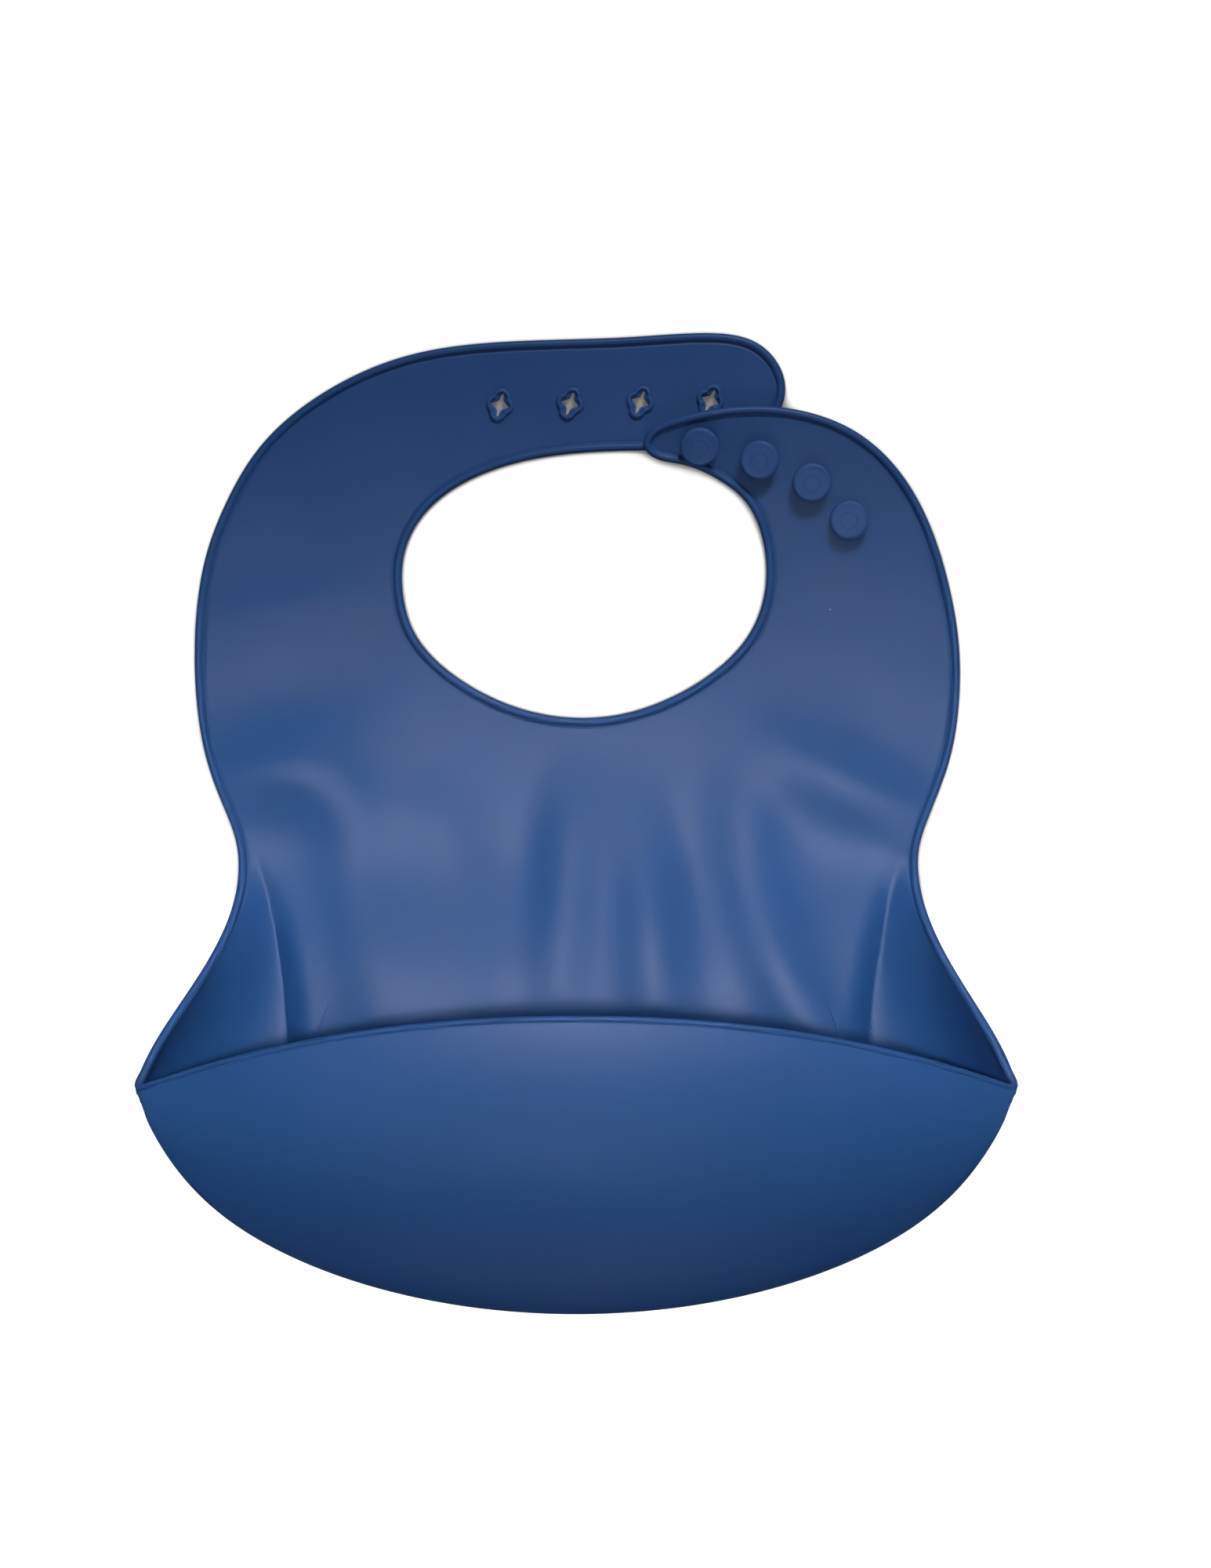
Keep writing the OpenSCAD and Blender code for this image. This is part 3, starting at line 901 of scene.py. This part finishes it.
def silicone(name, light, dark):
    """Matte moulded silicone: a soft bloom, faint flow marks, fine grain and dust specks."""
    material = bpy.data.materials.new(name)
    material.use_nodes = True
    nodes, links = material.node_tree.nodes, material.node_tree.links
    nodes.clear()
    output = nodes.new("ShaderNodeOutputMaterial")
    shader = nodes.new("ShaderNodeBsdfPrincipled")
    links.new(shader.outputs["BSDF"], output.inputs["Surface"])
    place = nodes.new("ShaderNodeAttribute")
    place.attribute_name = "place"

    def noise(scale, detail, rough=0.5):
        node = nodes.new("ShaderNodeTexNoise")
        node.inputs["Scale"].default_value = scale
        node.inputs["Detail"].default_value = detail
        node.inputs["Roughness"].default_value = rough
        links.new(place.outputs["Vector"], node.inputs["Vector"])
        return node.outputs["Fac"]

    def ramp(source, stops, mode="LINEAR"):
        node = nodes.new("ShaderNodeValToRGB")
        node.color_ramp.interpolation = mode
        links.new(source, node.inputs["Fac"])
        elements = node.color_ramp.elements
        while len(elements) < len(stops):
            elements.new(0.5)
        for element, (where, colour) in zip(elements, stops):
            element.position = where
            element.color = (*colour, 1)
        return node.outputs["Color"]

    flow = ramp(noise(26, 3), [(0.3, dark), (0.7, light)])
    dust = nodes.new("ShaderNodeTexVoronoi")
    dust.inputs["Scale"].default_value = 70
    dust.inputs["Randomness"].default_value = 1
    links.new(place.outputs["Vector"], dust.inputs["Vector"])
    speck = ramp(dust.outputs["Distance"], [(0.014, (1, 1, 1)), (0.022, (0, 0, 0))])
    chosen = ramp(dust.outputs["Color"], [(0.86, (0, 0, 0)), (0.9, (0.9, 0.9, 0.9))])
    both = nodes.new("ShaderNodeMix")
    both.data_type, both.blend_type = "RGBA", "MULTIPLY"
    both.inputs["Factor"].default_value = 1
    links.new(speck, both.inputs["A"])
    links.new(chosen, both.inputs["B"])
    dusty = nodes.new("ShaderNodeMix")
    dusty.data_type = "RGBA"
    links.new(both.outputs["Result"], dusty.inputs["Factor"])
    links.new(flow, dusty.inputs["A"])
    dusty.inputs["B"].default_value = (0.5, 0.56, 0.62, 1)
    links.new(dusty.outputs["Result"], shader.inputs["Base Color"])

    grey = ramp(noise(90, 5, 0.6), [(0.25, (0.4,) * 3), (0.75, (0.47,) * 3)])
    links.new(grey, shader.inputs["Roughness"])
    shader.inputs["IOR"].default_value = 1.41
    shader.inputs["Specular IOR Level"].default_value = 0.3
    shader.inputs["Sheen Weight"].default_value = 0.02
    shader.inputs["Sheen Roughness"].default_value = 0.5
    shader.inputs["Sheen Tint"].default_value = (0.75, 0.82, 1, 1)

    grain = nodes.new("ShaderNodeBump")
    grain.inputs["Strength"].default_value = 0.12
    grain.inputs["Distance"].default_value = 0.00006
    links.new(noise(2600, 2), grain.inputs["Height"])
    ripple = nodes.new("ShaderNodeBump")
    ripple.inputs["Strength"].default_value = 0.2
    ripple.inputs["Distance"].default_value = 0.0006
    links.new(noise(60, 2), ripple.inputs["Height"])
    links.new(grain.outputs["Normal"], ripple.inputs["Normal"])
    links.new(ripple.outputs["Normal"], shader.inputs["Normal"])
    return material


NAVY = silicone("silicone", (0.024, 0.081, 0.262), (0.020, 0.075, 0.244))
# A lighter copy of the silicone for the hole rims and buttons: a painted highlight that makes these raised
# parts look lit
NAVY_PAINTED_HIGHLIGHT = silicone("silicone_edge", (0.033, 0.098, 0.300), (0.027, 0.088, 0.276))


# ---------------------------------------------------------------- pieces


def finish_piece(obj, bend, slot, *nodes):
    keep_place(obj)
    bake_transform(obj)
    obj.data.materials.append(NAVY if slot == "silicone" else NAVY_PAINTED_HIGHLIGHT)
    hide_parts(*nodes)


finish_piece(
    make_piece("bib_apron", APRON), "apron", "silicone",
    "chest_panel", "chest_left_bead", "chest_right_bead", "pocket_back", "pocket_base",
    "left_wing", "right_wing", "left_wing_bead", "right_wing_bead",
)
finish_piece(
    make_piece("bib_yoke", YOKE), "yoke", "silicone",
    "neck_bead", "left_shoulder", "right_shoulder", "left_shoulder_beads",
    "right_shoulder_beads",
)
strap = make_piece("bib_hole_strap", HOLE_STRAP)
cut_holes(strap)
finish_piece(strap, "hole", "silicone", "hole_strap", "hole_strap_bead")
finish_piece(
    make_piece("bib_button_strap", BUTTON_STRAP), "button", "silicone",
    "button_strap", "button_strap_bead",
)
finish_piece(
    make_piece("bib_pocket_front_left", FRONT_LEFT), "left", "silicone",
    "pocket_front", "pocket_lip", "left_cheek", "left_cheek_lip",
)
finish_piece(
    make_piece("bib_pocket_front_right", FRONT_RIGHT), "right", "silicone",
    "pocket_toe", "right_cheek", "right_cheek_lip",
)
# The hole rims and buttons take the lighter copy of the silicone, a painted highlight
for number in range(4):
    finish_piece(hole_rim(number), "hole", "silicone_edge", f"hole_rim_{number + 1}")
    finish_piece(button(number), "button", "silicone_edge", f"button_{number + 1}")


# ---------------------------------------------------------------- floor, light and camera


def build_floor():
    floor = link(
        "studio_floor", [(-4000, -4000, 0), (4000, -4000, 0), (4000, 4000, 0), (-4000, 4000, 0)],
        [[0, 1, 2, 3]],
    )
    floor.location.z = -0.0002
    floor.visible_diffuse = floor.visible_glossy = False
    material = bpy.data.materials.new("studio_floor")
    material.use_nodes = True
    nodes, links = material.node_tree.nodes, material.node_tree.links
    shader = nodes["Principled BSDF"]
    shader.inputs["Base Color"].default_value = (0.3, 0.3, 0.3, 1)
    shader.inputs["Roughness"].default_value = 0.9
    shader.inputs["Specular IOR Level"].default_value = 0
    shader.inputs["Emission Color"].default_value = (1, 1, 1, 1)
    # The floor's glow is dimmed where ambient occlusion finds the bib: a painted shadow under and beside
    # the bib and in its see-through holes
    floor_painted_shadow = nodes.new("ShaderNodeAmbientOcclusion")
    floor_painted_shadow.inputs["Distance"].default_value = 0.008
    floor_painted_shadow.samples = 16
    shade = nodes.new("ShaderNodeMapRange")
    shade.interpolation_type = "SMOOTHSTEP"
    shade.inputs["From Min"].default_value = 0.5
    shade.inputs["From Max"].default_value = 0.75
    shade.inputs["To Min"].default_value = 0.1
    shade.inputs["To Max"].default_value = 1
    links.new(floor_painted_shadow.outputs["AO"], shade.inputs["Value"])
    links.new(shade.outputs["Result"], shader.inputs["Emission Strength"])
    floor.data.materials.append(material)


def softbox(name, place, aim, size, power, spread=180, shine=1):
    lamp = bpy.data.lights.new(name, "AREA")
    lamp.shape = "RECTANGLE"
    lamp.size, lamp.size_y = size
    lamp.energy = power
    lamp.spread = np.radians(spread)
    lamp.specular_factor = shine
    obj = bpy.data.objects.new(name, lamp)
    obj.location = place
    obj.rotation_euler = (Vector(aim) - Vector(place)).to_track_quat("-Z", "Y").to_euler()
    obj.visible_camera = False
    bpy.context.scene.collection.objects.link(obj)


build_floor()
softbox("key", (-0.02, -0.045, 1.1), (-0.02, -0.035, 0), (0.42, 0.14), 0.15, 13)
softbox("wide", (0, 0.2, 1.7), (0, 0, 0), (2.6, 2.2), 1.2, shine=0.2)
softbox("edge", (0.2, 0.75, 0.62), (0.03, 0.05, 0), (0.3, 0.2), 4.6)
softbox("front", (-0.05, -0.75, 0.85), (0, -0.05, 0), (0.6, 0.25), 1.6, shine=0.5)
for name, place in (("left", (-0.8, -0.2)), ("right", (0.8, -0.2)), ("low", (0, -0.9))):
    softbox(f"{name}_fill", (*place, 0.1), (0, -0.05, 0.01), (0.6, 0.1), 0.45, shine=0.3)

scene = bpy.context.scene
world = bpy.data.worlds.new("studio")
world.use_nodes = True
world.node_tree.nodes["Background"].inputs["Color"].default_value = (1, 1, 1, 1)
world.node_tree.nodes["Background"].inputs["Strength"].default_value = 1
world.cycles_visibility.diffuse = False
world.cycles_visibility.glossy = False
scene.world = world
scene.view_settings.view_transform = "Standard"
scene.view_settings.look = "None"

camera = bpy.data.cameras.new("camera")
camera.sensor_width = 36
camera.lens = 81.2
camera_object = bpy.data.objects.new("camera", camera)
camera_object.location = (0.0079, 0.01005, 0.95)
scene.collection.objects.link(camera_object)
scene.camera = camera_object
